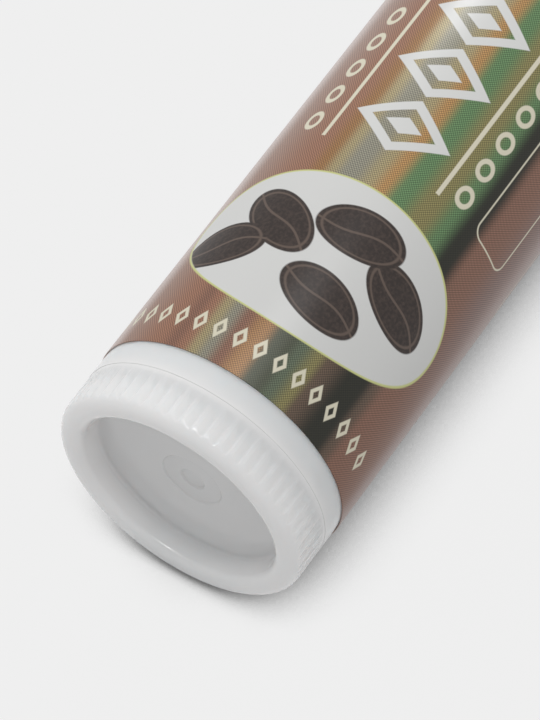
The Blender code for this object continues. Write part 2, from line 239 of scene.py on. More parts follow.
class Sketch:
    """Shader nodes written as sums: most methods add nodes and give back an output socket."""

    def __init__(self, name: str) -> None:
        """Start a material with one Principled shader.

        Args:
            name: Name of the material.
        """
        self.material = bpy.data.materials.new(name)
        self.material.use_nodes = True
        self.tree = self.material.node_tree
        self.shader = self.tree.nodes["Principled BSDF"]

    def node(self, kind: str, **settings: object) -> bpy.types.Node:
        """Add a node.

        Args:
            kind: Type name of the node.
            **settings: Properties to set on it.

        Returns:
            The new node.
        """
        made = self.tree.nodes.new(kind)
        for key, value in settings.items():
            setattr(made, key, value)
        return made

    def feed(self, socket: Socket, value: Value) -> None:
        """Link an output to an input, or write a number or colour into it.

        Args:
            socket: Input that takes the value.
            value: Output to link, or the number or colour.
        """
        if isinstance(value, Socket):
            self.tree.links.new(value, socket)
        elif isinstance(value, tuple) and len(value) == 3 and len(socket.default_value) == 4:
            socket.default_value = (*value, 1.0)
        else:
            socket.default_value = value

    def math(self, operation: str, *values: Value) -> Socket:
        """Add a Math node.

        Args:
            operation: Name of what it works out.
            *values: What goes into it, in order.

        Returns:
            Its result.
        """
        made = self.node("ShaderNodeMath", operation=operation)
        for socket, value in zip(made.inputs, values):
            self.feed(socket, value)
        return made.outputs[0]

    def add(self, a: Value, b: Value) -> Socket:
        """Sum."""
        return self.math("ADD", a, b)

    def less(self, a: Value, b: Value) -> Socket:
        """Difference a - b."""
        return self.math("SUBTRACT", a, b)

    def times(self, a: Value, b: Value) -> Socket:
        """Product."""
        return self.math("MULTIPLY", a, b)

    def size_of(self, a: Value) -> Socket:
        """Absolute value."""
        return self.math("ABSOLUTE", a)

    def both(self, a: Value, b: Value) -> Socket:
        """Smaller of two, which keeps where both masks hold."""
        return self.math("MINIMUM", a, b)

    def either(self, a: Value, b: Value) -> Socket:
        """Larger of two, which keeps where either mask holds."""
        return self.math("MAXIMUM", a, b)

    def distance(self, x: Value, y: Value) -> Socket:
        """Length of (x, y)."""
        squares = self.add(self.times(x, x), self.times(y, y))
        return self.math("SQRT", squares)

    def mapped(
        self, value: Value, low: float, high: float, to_low: float = 0.0, to_high: float = 1.0
    ) -> Socket:
        """Map a range of a value to another range, evenly, and hold it at both ends.

        Args:
            value: Value to map.
            low: Start of its range.
            high: End of its range.
            to_low: Result at the start.
            to_high: Result at the end.

        Returns:
            The mapped value.
        """
        made = self.node("ShaderNodeMapRange")
        for socket, part in zip(made.inputs, (value, low, high, to_low, to_high)):
            self.feed(socket, part)
        return made.outputs[0]

    def inside(self, edge_distance: Value, softness: float = 0.03) -> Socket:
        """Mask that is 1 where a signed distance in mm is below zero, with a soft edge."""
        return self.mapped(edge_distance, -softness, softness, 1.0, 0.0)

    def mix(self, factor: Value, a: Value, b: Value) -> Socket:
        """Mix two colours.

        Args:
            factor: Share of the second colour, from 0 to 1.
            a: First colour.
            b: Second colour.

        Returns:
            The mixed colour.
        """
        made = self.node("ShaderNodeMix", data_type="RGBA")
        for socket, value in zip((made.inputs[0], made.inputs[6], made.inputs[7]), (factor, a, b)):
            self.feed(socket, value)
        return made.outputs[2]

    def multiply(self, colour: Value, factor: Value) -> Socket:
        """Make a colour lighter or darker.

        Args:
            colour: Colour to change.
            factor: Number that each of its channels is multiplied by.

        Returns:
            The changed colour.
        """
        made = self.node("ShaderNodeVectorMath", operation="SCALE")
        self.feed(made.inputs[0], colour)
        self.feed(made.inputs[3], factor)
        return made.outputs[0]

    def position(self) -> Socket:
        """Object coordinates in metres."""
        return self.node("ShaderNodeTexCoord").outputs["Object"]

    def coordinates(self) -> tuple[Socket, Socket, Socket]:
        """Give the object coordinates one by one.

        Returns:
            X, Y and Z in metres.
        """
        parts = self.node("ShaderNodeSeparateXYZ")
        self.feed(parts.inputs[0], self.position())
        return tuple(parts.outputs)

    def noise(self, scale: float, detail: float) -> Socket:
        """Add a noise texture.

        Args:
            scale: Its scale per metre.
            detail: Its layers of finer noise.

        Returns:
            Its value, from 0 to 1.
        """
        made = self.node("ShaderNodeTexNoise")
        self.feed(made.inputs["Vector"], self.position())
        made.inputs["Scale"].default_value = scale
        made.inputs["Detail"].default_value = detail
        return made.outputs[0]

    def bump(self, height: Value, distance: float, strength: float) -> None:
        """Bump the shader's normal.

        Args:
            height: Height, from 0 to 1.
            distance: Metres that a height of 1 stands for.
            strength: Share of the bump that shows.
        """
        made = self.node("ShaderNodeBump")
        made.inputs["Strength"].default_value = strength
        made.inputs["Distance"].default_value = distance
        self.feed(made.inputs["Height"], height)
        self.feed(self.shader.inputs["Normal"], made.outputs[0])

    def set(self, **values: Value) -> None:
        """Write or link shader inputs by name, with _ for a blank."""
        for key, value in values.items():
            self.feed(self.shader.inputs[key.replace("_", " ")], value)


@dataclass(frozen=True)
class MouldedPlastic:
    """White polypropylene with faint flow clouds and light that travels under its skin."""

    name: str
    colour: Colour
    shade: Colour
    roughness: float
    glow: float
    glow_reach: float = 0.0016
    glow_tint: Colour = (1.0, 0.86, 0.80)
    parting: float = 0.002918
    parting_half: float = 0.0001
    parting_reach: float = 0.0008
    cloud_scale: float = 260.0
    flow_scale: float = 900.0
    flow_range: Pair = (0.3, 0.7)
    smoother: float = 0.05
    rougher: float = 0.06

    def tone(self, sketch: Sketch) -> Socket:
        """Colour with slow clouds of melt flow in it."""
        cloud = sketch.mapped(sketch.noise(self.cloud_scale, 3.0), *self.flow_range)
        return sketch.mix(cloud, self.colour, self.shade)

    def glow_weight(self, sketch: Sketch) -> Socket:
        """Fade the glow out at the parting line, where light passes on into the next piece.

        Args:
            sketch: Material being made.

        Returns:
            The weight of the glow.
        """
        along, _, _ = sketch.coordinates()
        station = sketch.add(along, STICK_LENGTH / 2)
        away = sketch.size_of(sketch.less(station, self.parting))
        return sketch.times(sketch.mapped(away, self.parting_half, self.parting_reach), self.glow)

    def material(self) -> bpy.types.Material:
        """Make the finish.

        Returns:
            The material.
        """
        sketch = Sketch(self.name)
        flow = sketch.noise(self.flow_scale, 3.0)
        smooth, rough = self.roughness - self.smoother, self.roughness + self.rougher
        sketch.set(
            Base_Color=self.tone(sketch),
            Roughness=sketch.mapped(flow, *self.flow_range, smooth, rough),
            IOR=1.49,
            Subsurface_Weight=self.glow_weight(sketch),
            Subsurface_Radius=self.glow_tint,
            Subsurface_Scale=self.glow_reach,
        )
        return sketch.material


@dataclass(frozen=True)
class WheelPlastic(MouldedPlastic):
    """The wheel's plastic, with painted shade on the recess's floor that painted light eases again
    towards its wall.
    """

    # Painted shade on the recess floor, and the painted light that lifts it towards the wall.
    floor_painted_shade: float = 0.875
    wall_painted_light: float = 1.07
    floor_depth: float = 0.00166
    corner_from: float = 0.0045
    corner_to: float = 0.0060
    wall: float = 0.0064
    blend: float = 0.0001

    def tone(self, sketch: Sketch) -> Socket:
        """Paint shade into the clouded colour on the recess's floor, and paint some light back in
        towards its wall.

        Args:
            sketch: Material being made.

        Returns:
            The colour.
        """
        along, across, height = sketch.coordinates()
        radius = sketch.distance(across, sketch.less(height, AXIS_HEIGHT))
        depth = sketch.add(along, STICK_LENGTH / 2)
        deep = sketch.mapped(depth, self.floor_depth - self.blend, self.floor_depth)
        inward = sketch.mapped(radius, self.wall - self.blend, self.wall + self.blend, 1.0, 0.0)
        # Painted shade on the recess floor, lifted by painted light from the middle out towards the
        # wall.
        rim_painted_level = self.floor_painted_shade * self.wall_painted_light
        corner = sketch.mapped(radius, self.corner_from, self.corner_to, self.floor_painted_shade, rim_painted_level)
        recess = sketch.times(deep, inward)
        factor = sketch.add(sketch.less(1.0, recess), sketch.times(recess, corner))
        return sketch.multiply(super().tone(sketch), factor)


@dataclass(frozen=True)
class CastWax:
    """Pale wax balm with slow clouds, a soft skin and tiny pits."""

    name: str = "balm_wax_finish"
    colour: Colour = (0.86, 0.74, 0.50)
    shade: Colour = (0.80, 0.66, 0.42)
    roughness: Pair = (0.38, 0.55)
    cloud_scale: float = 420.0
    skin_scale: float = 1500.0
    pit_scale: float = 5200.0
    pit_range: Pair = (0.62, 0.74)

    def material(self) -> bpy.types.Material:
        """Make the finish.

        Returns:
            The material.
        """
        sketch = Sketch(self.name)
        cloud = sketch.noise(self.cloud_scale, 5.0)
        pits = sketch.mapped(sketch.noise(self.pit_scale, 2.0), *self.pit_range)
        skin = sketch.less(sketch.noise(self.skin_scale, 4.0), pits)
        sketch.set(
            Base_Color=sketch.mix(sketch.mapped(cloud, 0.35, 0.65), self.colour, self.shade),
            Roughness=sketch.mapped(cloud, 0.3, 0.7, *self.roughness),
            IOR=1.44,
            Subsurface_Weight=0.35,
            Subsurface_Radius=(1.0, 0.7, 0.35),
            Subsurface_Scale=0.0009,
        )
        sketch.bump(skin, 0.00003, 0.6)
        return sketch.material


class Tint(Enum):
    """Colours of the foil: its brown print, with the holographic rainbow, sheen and dark
    reflections painted in as fixed colours.
    """

    MAUVE = (0.270, 0.165, 0.125)
    SHADE_MAUVE = (0.240, 0.150, 0.128)
    DUSK = (0.182, 0.110, 0.092)
    # Painted sheen, a pale band where the foil turns towards its edge.
    PAINTED_SHEEN = (0.475, 0.385, 0.355)
    RUSSET = (0.262, 0.130, 0.082)
    RED_BROWN = (0.195, 0.098, 0.066)
    UMBER = (0.100, 0.066, 0.045)
    ORANGE = (0.350, 0.195, 0.072)
    COPPER = (0.250, 0.128, 0.048)
    SAND = (0.290, 0.240, 0.130)
    OLIVE = (0.195, 0.172, 0.068)
    LEAF = (0.096, 0.180, 0.078)
    TEAL = (0.088, 0.112, 0.072)
    PINE = (0.046, 0.052, 0.030)
    SLATE = (0.215, 0.205, 0.160)
    # Dark: the label's lap line, and a painted dark reflection where it stands as a band.
    DARK_LAP_AND_REFLECTION = (0.012, 0.012, 0.006)


Bands = tuple[tuple[float, Tint], ...]

# The middle of each band in degrees with its tint, next to the wheel and farther along the stick.
# The bands paint the holographic rainbow and its reflections as fixed colours by turn: painted
# reflections over the brown print.
NEAR_BANDS: Bands = (
    (-180, Tint.RED_BROWN), (-160, Tint.OLIVE), (-135, Tint.RUSSET), (-118, Tint.MAUVE),
    (-95, Tint.SHADE_MAUVE), (-84, Tint.RED_BROWN), (-62, Tint.RED_BROWN), (-56, Tint.UMBER),
    (-51, Tint.DARK_LAP_AND_REFLECTION), (-44, Tint.DARK_LAP_AND_REFLECTION), (-33, Tint.UMBER), (-29, Tint.OLIVE),
    (-22, Tint.TEAL), (-17, Tint.PINE), (-12, Tint.PINE), (-7, Tint.COPPER),
    (-4, Tint.COPPER), (2, Tint.RED_BROWN), (8, Tint.SLATE), (13, Tint.SAND),
    (18, Tint.RUSSET), (23, Tint.RED_BROWN), (30, Tint.RUSSET), (49, Tint.MAUVE),
    (62, Tint.PAINTED_SHEEN), (70, Tint.PAINTED_SHEEN), (95, Tint.RUSSET), (115, Tint.OLIVE),
    (130, Tint.TEAL), (145, Tint.DARK_LAP_AND_REFLECTION), (160, Tint.LEAF), (180, Tint.RED_BROWN),
)
FAR_BANDS: Bands = (
    (-180, Tint.RUSSET), (-165, Tint.LEAF), (-150, Tint.ORANGE), (-130, Tint.RED_BROWN),
    (-115, Tint.MAUVE), (-92, Tint.SHADE_MAUVE), (-79, Tint.DUSK), (-64, Tint.RED_BROWN),
    (-57, Tint.RED_BROWN), (-50, Tint.DARK_LAP_AND_REFLECTION), (-46, Tint.DARK_LAP_AND_REFLECTION), (-38, Tint.LEAF),
    (-30, Tint.OLIVE), (-26, Tint.OLIVE), (-18, Tint.LEAF), (-15, Tint.LEAF),
    (-9, Tint.ORANGE), (-3, Tint.SAND), (4, Tint.SLATE), (8, Tint.SLATE),
    (13, Tint.SAND), (18, Tint.COPPER), (25, Tint.RUSSET), (48, Tint.MAUVE),
    (62, Tint.PAINTED_SHEEN), (70, Tint.PAINTED_SHEEN), (95, Tint.RED_BROWN), (112, Tint.DARK_LAP_AND_REFLECTION),
    (125, Tint.LEAF), (145, Tint.ORANGE), (162, Tint.MAUVE), (180, Tint.RUSSET),
)


class LabelSketch(Sketch):
    """Shader nodes on the label: its turn in degrees, arc and station in mm, and printed shapes."""

    def __init__(self, name: str, radius: float) -> None:
        """Start a material and work out where on the label a point is.

        Args:
            name: Name of the material.
            radius: Radius of the label in mm.
        """
        super().__init__(name)
        along, side, height = self.coordinates()
        rise = self.less(height, AXIS_HEIGHT)
        self.station = self.times(self.add(along, STICK_LENGTH / 2), 1000.0)
        self.turn = self.math("DEGREES", self.math("ARCTAN2", side, rise))
        self.arc = self.times(self.turn, math.radians(1.0) * radius)

    def lozenge(self, x: Value, y: Value, half: Pair) -> Socket:
        """Measure how far a point is from a lozenge about (0, 0).

        Args:
            x: Coordinate across.
            y: Coordinate along.
            half: Half size of the lozenge.

        Returns:
            Its distance in mm, near enough, below zero inside.
        """
        wide = self.times(self.size_of(x), 1.0 / half[0])
        high = self.times(self.size_of(y), 1.0 / half[1])
        unit = self.less(self.add(wide, high), 1.0)
        return self.times(unit, half[0] * half[1] / math.hypot(*half))

    def oval(self, x: Value, y: Value, half: Pair) -> Socket:
        """Measure how far a point is from an oval about (0, 0).

        Args:
            x: Coordinate across.
            y: Coordinate along.
            half: Half size of the oval.

        Returns:
            Its distance in mm, near enough, below zero inside.
        """
        wide, high = self.times(x, 1.0 / half[0]), self.times(y, 1.0 / half[1])
        return self.times(self.less(self.distance(wide, high), 1.0), min(half))

    def line(self, edge_distance: Value, line: Pair) -> Socket:
        """Mask of a line along a shape's edge."""
        off_line = self.size_of(self.add(edge_distance, line[0]))
        return self.inside(self.less(off_line, line[1]))

    def repeated(self, value: Value, period: float, middle: float) -> Socket:
        """Start a coordinate again in each period.

        Args:
            value: Coordinate to repeat.
            period: Length of a period.
            middle: Middle of one period.

        Returns:
            The coordinate, zero in the middle of each period.
        """
        shifted = self.less(value, middle)
        nearest = self.math("ROUND", self.times(shifted, 1.0 / period))
        return self.less(shifted, self.times(nearest, period))

    def band_mask(self, value: Value, low: float, high: float) -> Socket:
        """Mask between two values of a coordinate in mm."""
        middle, half = (low + high) / 2, (high - low) / 2
        return self.inside(self.less(self.size_of(self.less(value, middle)), half))

    def turned_about(self, place: Pair, degrees: float) -> tuple[Socket, Socket]:
        """Turn the arc and the station about a place.

        Args:
            place: Arc and station that become zero.
            degrees: How far the new coordinates are turned.

        Returns:
            The two new coordinates.
        """
        cosine, sine = math.cos(math.radians(degrees)), math.sin(math.radians(degrees))
        across, along = self.less(self.arc, place[0]), self.less(self.station, place[1])
        first = self.add(self.times(across, cosine), self.times(along, sine))
        second = self.less(self.times(along, cosine), self.times(across, sine))
        return first, second


@dataclass(frozen=True)
class HoloLabel:
    """Brown holographic wrap with painted rainbow reflections in bands along the stick and a
    generic printed pattern.

    Sizes are in millimetres. A place is an arc and a station, a half size is half the width and
    half the height, and a line is its inset from its shape's edge and half its width.
    """

    name: str = "wrap_label_finish"
    radius: float = 7.98
    cream: Colour = (0.70, 0.66, 0.52)
    white: Colour = (0.665, 0.667, 0.655)
    fringe: Colour = (0.58, 0.60, 0.25)
    bean: Colour = (0.026, 0.017, 0.014)
    bean_light: Colour = (0.072, 0.049, 0.040)
    bean_edge: Colour = (0.115, 0.082, 0.066)
    band_change: Pair = (9.0, 19.0)
    band_sway_degrees: float = 4.0
    dot_pitch: float = 0.1273
    dot_sums: Pair = (-1.2, 2.0)
    dot_tones: Pair = (0.62, 1.9)
    lap: Pair = (-23.66, -23.60)
    rule_arcs: tuple[float, ...] = (-3.83, 3.93, 14.35, 22.25)
    rule_half: float = 0.13
    oval_arcs: tuple[float, ...] = (-5.2, 5.45, 12.95, 23.65)
    oval_half: Pair = (0.62, 0.78)
    oval_pitch: float = 2.2
    oval_line: Pair = (0.16, 0.13)
    row_station: float = 6.65
    row_reach: Pair = (-11.05, 24.05)
    row_half: Pair = (0.42, 0.78)
    row_pitch: float = 1.30
    row_line: Pair = (0.11, 0.10)
    panels: tuple[Pair, ...] = ((-8.62, 1.0), (-17.6, 3.0))
    panel_inset: float = 0.8
    panel_line: Pair = (-0.72, 0.05)
    lozenge_arcs: tuple[float, ...] = (0.0, 18.3)
    lozenge_half_width: float = 3.15
    lozenge_pitch: float = 4.4
    lozenge_gap: float = 0.15
    lozenge_start: float = 0.25
    lozenge_line: Pair = (0.30, 0.28)
    heart_half: Pair = (1.15, 0.62)
    patch_place: Pair = (-1.05, 13.62)
    patch_half: Pair = (9.2, 5.12)
    fringe_width: float = 0.10
    beans: tuple[tuple[Pair, float], ...] = (
        ((-5.9, 14.1), 22.0),
        ((-1.9, 16.0), -8.0),
        ((2.6, 14.6), 30.0),
        ((5.0, 12.0), -24.0),
        ((-2.2, 11.3), 12.0),
    )
    bean_half: Pair = (2.75, 1.62)
    bean_rim_line: Pair = (0.22, 0.05)
    crease_line: Pair = (0.0, 0.07)
    crease_wave: float = 1.3
    crease_bow: float = 0.2

    def ramp(self, sketch: Sketch, turn: Value, bands: Bands) -> Socket:
        """Colour bands by turn.

        Args:
            sketch: Material being made.
            turn: Turn in degrees.
            bands: Middle of each band in degrees, from -180 to 180, with its tint.

        Returns:
            The bands' colour.
        """
        made = sketch.node("ShaderNodeValToRGB")
        made.color_ramp.interpolation = "EASE"
        sketch.feed(made.inputs[0], sketch.mapped(turn, -180.0, 180.0))
        stops = made.color_ramp.elements
        stops[0].position, stops[1].position = 0.0, 1.0
        for degrees, tint in bands:
            share = (degrees + 180.0) / 360.0
            stop = stops[0] if share <= 0 else stops[-1] if share >= 1 else stops.new(share)
            stop.color = (*tint.value, 1.0)
        return made.outputs[0]

    def bean_print(self, sketch: LabelSketch) -> tuple[Socket, Socket]:
        """Print roasted beans on the patch, each over the ones before it.

        Args:
            sketch: Material being made.

        Returns:
            The beans' mask, and a mask of the lighter crease and rim on them.
        """
        whole, light = 0.0, 0.0
        for place, degrees in self.beans:
            x, y = sketch.turned_about(place, degrees)
            shape = sketch.oval(x, y, self.bean_half)
            mask = sketch.inside(shape)
            wave = sketch.math("SINE", sketch.times(x, self.crease_wave))
            bowed = sketch.add(y, sketch.times(wave, self.crease_bow))
            crease = sketch.both(sketch.line(bowed, self.crease_line), mask)
            rim = sketch.both(sketch.line(shape, self.bean_rim_line), mask)
            whole = sketch.either(whole, mask)
            still_seen = sketch.times(light, sketch.less(1.0, mask))
            light = sketch.either(still_seen, sketch.either(crease, rim))
        return whole, light

    def cream_print(self, sketch: LabelSketch, low: float, high: float) -> Socket:
        """Print the thin cream ornament: rules, rows of ovals and lozenges, and two empty panels.

        Args:
            sketch: Material being made.
            low: Station where the rules, the ovals and the panels start.
            high: Station where they end.

        Returns:
            The mask of the cream ink.
        """
        upper = sketch.band_mask(sketch.station, low, high)
        masks = []
        for middle in self.rule_arcs:
            rule = sketch.band_mask(sketch.arc, middle - self.rule_half, middle + self.rule_half)
            masks.append(sketch.both(rule, upper))
        step = (high - low) / round((high - low) / self.oval_pitch)
        along = sketch.repeated(sketch.station, step, low + step / 2)
        for middle in self.oval_arcs:
            oval = sketch.oval(sketch.less(sketch.arc, middle), along, self.oval_half)
            masks.append(sketch.both(sketch.line(oval, self.oval_line), upper))
        across = sketch.repeated(sketch.arc, self.row_pitch, 0.0)
        height = sketch.less(sketch.station, self.row_station)
        diamond = sketch.lozenge(across, height, self.row_half)
        ring = sketch.line(diamond, self.row_line)
        masks.append(sketch.both(ring, sketch.band_mask(sketch.arc, *self.row_reach)))
        centre, half_height = (low + high) / 2, (high - low) / 2 - self.panel_inset
        for middle, half_width in self.panels:
            box_x = sketch.less(sketch.size_of(sketch.less(sketch.arc, middle)), half_width)
            box_y = sketch.less(sketch.size_of(sketch.less(sketch.station, centre)), half_height)
            outline = sketch.distance(sketch.either(box_x, 0.0), sketch.either(box_y, 0.0))
            masks.append(sketch.line(outline, self.panel_line))
        return reduce(sketch.either, masks)

    def white_print(self, sketch: LabelSketch, low: float, high: float) -> Socket:
        """Print the large open white lozenges with a small full one in each.

        Args:
            sketch: Material being made.
            low: Station where the pattern starts.
            high: Station where it ends.

        Returns:
            The mask of the white ink.
        """
        upper = sketch.band_mask(sketch.station, low, high)
        step = (high - low) / round((high - low) / self.lozenge_pitch)
        along = sketch.repeated(sketch.station, step, low + step / 2)
        half = (self.lozenge_half_width, step / 2 - self.lozenge_gap)
        total = 0.0
        for middle in self.lozenge_arcs:
            across = sketch.less(sketch.arc, middle)
            large = sketch.lozenge(across, along, half)
            ring = sketch.line(large, self.lozenge_line)
            heart = sketch.inside(sketch.lozenge(across, along, self.heart_half))
            total = sketch.either(sketch.either(ring, heart), total)
        return sketch.both(total, upper)

    def patched(self, sketch: LabelSketch, colour: Value) -> tuple[Socket, Socket]:
        """Print the pale patch with its fringe and beans over a colour.

        Args:
            sketch: Material being made.
            colour: Colour under the patch.

        Returns:
            The new colour, and the mask of all that the patch covers.
        """
        across = sketch.less(sketch.arc, self.patch_place[0])
        along = sketch.less(sketch.station, self.patch_place[1])
        egg = sketch.oval(across, along, self.patch_half)
        patch = sketch.inside(egg)
        halo = sketch.inside(sketch.less(egg, self.fringe_width))
        beans, light = self.bean_print(sketch)
        mottle = sketch.mapped(sketch.noise(5200.0, 2.0), 0.4, 0.7, 0.0, 0.6)
        bean = sketch.mix(mottle, self.bean, self.bean_light)
        bean = sketch.mix(light, bean, self.bean_edge)
        colour = sketch.mix(halo, colour, self.fringe)
        colour = sketch.mix(patch, colour, self.white)
        return sketch.mix(sketch.both(beans, patch), colour, bean), halo

    def foil(self, sketch: LabelSketch) -> Socket:
        """Make the bare foil's colour.

        Args:
            sketch: Material being made.

        Returns:
            Painted rainbow reflections in bands under a fine dot mesh.
        """
        drift = sketch.less(sketch.noise(90.0, 1.0), 0.5)
        swayed = sketch.add(sketch.turn, sketch.times(drift, self.band_sway_degrees))
        share = sketch.mapped(sketch.station, *self.band_change)
        near = self.ramp(sketch, swayed, NEAR_BANDS)
        far = self.ramp(sketch, swayed, FAR_BANDS)
        pace = 2.0 * math.pi / self.dot_pitch * math.sqrt(0.5)
        rows = sketch.math("SINE", sketch.times(sketch.add(sketch.arc, sketch.station), pace))
        columns = sketch.math("SINE", sketch.times(sketch.less(sketch.arc, sketch.station), pace))
        dots = sketch.mapped(sketch.add(rows, columns), *self.dot_sums, *self.dot_tones)
        return sketch.multiply(sketch.mix(share, near, far), dots)

    def material(self, low: float, high: float, with_patch: bool) -> bpy.types.Material:
        """Make the label's finish.

        Args:
            low: Station where the upper pattern starts, in mm.
            high: Station where it ends, in mm.
            with_patch: Whether this length carries the pale patch.

        Returns:
            The material.
        """
        kind = "patch" if with_patch else "plain"
        sketch = LabelSketch(f"{self.name}_{kind}", self.radius)
        colour = self.foil(sketch)
        ink_white = self.white_print(sketch, low + self.lozenge_start, high)
        ink_cream = self.cream_print(sketch, low, high)
        lap = sketch.band_mask(sketch.arc, *self.lap)
        colour = sketch.mix(lap, colour, Tint.DARK_LAP_AND_REFLECTION.value)
        colour = sketch.mix(ink_cream, colour, self.cream)
        colour = sketch.mix(ink_white, colour, self.white)
        printed = sketch.either(ink_white, ink_cream)
        if with_patch:
            colour, covered = self.patched(sketch, colour)
            printed = sketch.either(printed, covered)
        sketch.set(
            Base_Color=colour,
            Metallic=sketch.times(sketch.less(1.0, printed), 0.15),
            Roughness=sketch.mapped(printed, 0.0, 1.0, 0.34, 0.42),
            IOR=1.50,
            Specular_IOR_Level=0.0,
            Coat_Weight=0.8,
            Coat_Roughness=0.28,
        )
        sketch.bump(sketch.noise(700.0, 2.0), 0.00003, 0.35)
        return sketch.material


@dataclass
class TwistWheel:
    """Fluted wheel with its recess, hub, spindle and thread, one moulding."""

    radius: float = 0.00788
    height: float = 0.002915
    end_round: float = 0.00082
    boss_radius: float = 0.0065
    boss_top: float = 0.00377
    mouth_radius: float = 0.00631
    floor_radius: float = 0.00624
    depth: float = 0.00168
    lip_round: float = 0.00055
    floor_round: float = 0.00026
    gate_ring_radius: float = 0.00195
    gate_ring_depth: float = 0.00008
    gate_round: float = 0.00003
    dimple_radius: float = 0.0008
    dimple_depth: float = 0.0001
    dimple_round: float = 0.00004
    side_rows: int = 22
    flutes: int = 62
    columns_per_flute: int = 16
    flute_slope: float = 0.00056
    flute_step: float = 0.00014
    flute_depth: float = 0.0001
    flute_ramp: float = 0.0013
    flute_top: float = 0.00272
    hub_radius: float = 0.0041
    hub_top: float = 0.00629
    hub_sink: float = 0.0004
    bead_radius: float = 0.0045
    bead_bottom: float = 0.00539
    bead_top: float = 0.00589
    spindle_radius: float = 0.0020
    spindle_foot_round: float = 0.0002
    spindle_top: float = 0.0500
    spindle_top_round: float = 0.0004
    spindle_steps: int = 64
    thread_lead: float = 0.0040
    thread_turns: int = 10
    thread_steps_per_turn: int = 40
    thread_start: float = 0.00729
    thread_crest_radius: float = 0.0028
    thread_crest_half: float = 0.00035
    thread_root_half: float = 0.0008
    thread_sink: float = 0.0003
    placement: Placement = Placement(Body.WHEEL, "twist_wheel", "wheel_plastic")
    finish: WheelPlastic = WheelPlastic(
        name="wheel_plastic_finish",
        colour=(0.82, 0.817, 0.817),
        shade=(0.805, 0.802, 0.802),
        roughness=0.14,
        glow=1.0,
        glow_reach=0.0030,
        glow_tint=(1.0, 0.92, 0.89),
    )

    def outline(self) -> list[Corner]:
        """List the corners of the wheel from the boss to the middle of the recess.

        Returns:
            The corners in order.
        """
        ring_floor = self.depth + self.gate_ring_depth
        dimple_floor = ring_floor + self.dimple_depth
        return [
            Corner(0, self.boss_top),
            Corner(self.boss_radius, self.boss_top, EDGE_ROUND),
            Corner(self.boss_radius, self.height),
            Corner(self.radius, self.height),
            Corner(self.radius, 0, self.end_round, facets=18),
            Corner(self.mouth_radius, 0, self.lip_round, facets=12),
            Corner(self.floor_radius, self.depth, self.floor_round, facets=6),
            Corner(self.gate_ring_radius, self.depth, self.gate_round),
            Corner(self.gate_ring_radius - self.gate_ring_depth, ring_floor, self.gate_round),
            Corner(self.dimple_radius, ring_floor, self.gate_round),
            Corner(self.dimple_radius - self.dimple_depth, dimple_floor, self.dimple_round),
            Corner(0, dimple_floor),
        ]

    def flute_radius(self, turn: float, station: float) -> float:
        """Work out how far the flutes leave the wheel's side standing.

        Args:
            turn: Angle about the axis, in radians.
            station: Station of the point.

        Returns:
            The radius there, which is the whole wheel's between flutes.
        """
        pitch = 2 * math.pi / self.flutes
        across = ((turn / pitch + 0.5) % 1.0 - 0.5) * pitch * self.radius
        share = min(1.0, abs(across) / (self.flute_step if across > 0 else self.flute_slope))
        rise = max(0.0, (self.flute_top - station) / self.flute_ramp)
        return self.radius - self.flute_depth * min(rise, (1 + math.cos(math.pi * share)) / 2)

    def body_mesh(self) -> bmesh.types.BMesh:
        """Turn the wheel, split its side into rows and press the flutes in.

        Returns:
            The wheel's mesh, upright.
        """
        bm = turned(self.outline(), self.flutes * self.columns_per_flute, closed=False)
        side = wall_edges(bm, self.radius, self.end_round, self.height)
        bmesh.ops.subdivide_edges(bm, edges=side, cuts=self.side_rows, use_grid_fill=True)
        for vert in bm.verts:
            radius = math.hypot(vert.co.x, vert.co.y)
            if radius > self.mouth_radius and vert.co.z < self.flute_top:
                limit = self.flute_radius(math.atan2(vert.co.y, vert.co.x), vert.co.z)
                if limit < radius:
                    vert.co.xy *= limit / radius
        return bm

    def spindle_mesh(self) -> bmesh.types.BMesh:
        """Turn the hub with its snap bead, and the round spindle on it.

        Returns:
            Their mesh, upright, its foot sunk into the boss.
        """
        foot = self.boss_top - self.hub_sink
        corners = [
            Corner(0, self.spindle_top),
            Corner(self.spindle_radius, self.spindle_top, self.spindle_top_round),
            Corner(self.spindle_radius, self.hub_top, self.spindle_foot_round),
            Corner(self.hub_radius, self.hub_top, EDGE_ROUND),
            Corner(self.bead_radius, self.bead_top, EDGE_ROUND),
            Corner(self.bead_radius, self.bead_bottom, EDGE_ROUND),
            Corner(self.hub_radius, self.bead_bottom),
            Corner(self.hub_radius, foot),
            Corner(0, foot),
        ]
        return turned(corners, self.spindle_steps, closed=False)

    def thread_mesh(self) -> bmesh.types.BMesh:
        """Wind the thread's section round the spindle, right-handed, and close its ends.

        Returns:
            The ridge's mesh, upright, its root sunk into the spindle.
        """
        bm = bmesh.new()
        root = self.spindle_radius - self.thread_sink
        corners = (
            (root, self.thread_start + self.thread_root_half),
            (self.thread_crest_radius, self.thread_start + self.thread_crest_half),
            (self.thread_crest_radius, self.thread_start - self.thread_crest_half),
            (root, self.thread_start - self.thread_root_half),
        )
        verts = [bm.verts.new((radius, 0, station)) for radius, station in corners]
        section = bm.faces.new(verts)
        start = Matrix.Rotation(START_TURN, 3, "Z")
        bmesh.ops.rotate(bm, cent=(0, 0, 0), matrix=start, verts=verts)
        bmesh.ops.spin(
            bm,
            geom=[section, *section.edges, *verts],
            cent=(0, 0, 0),
            axis=(0, 0, 1),
            dvec=(0, 0, self.thread_lead / self.thread_steps_per_turn),
            angle=2 * math.pi * self.thread_turns,
            steps=self.thread_steps_per_turn * self.thread_turns,
        )
        ends = [edge for edge in bm.edges if edge.is_boundary]
        if ends:
            bmesh.ops.holes_fill(bm, edges=ends, sides=len(corners))
        return bm

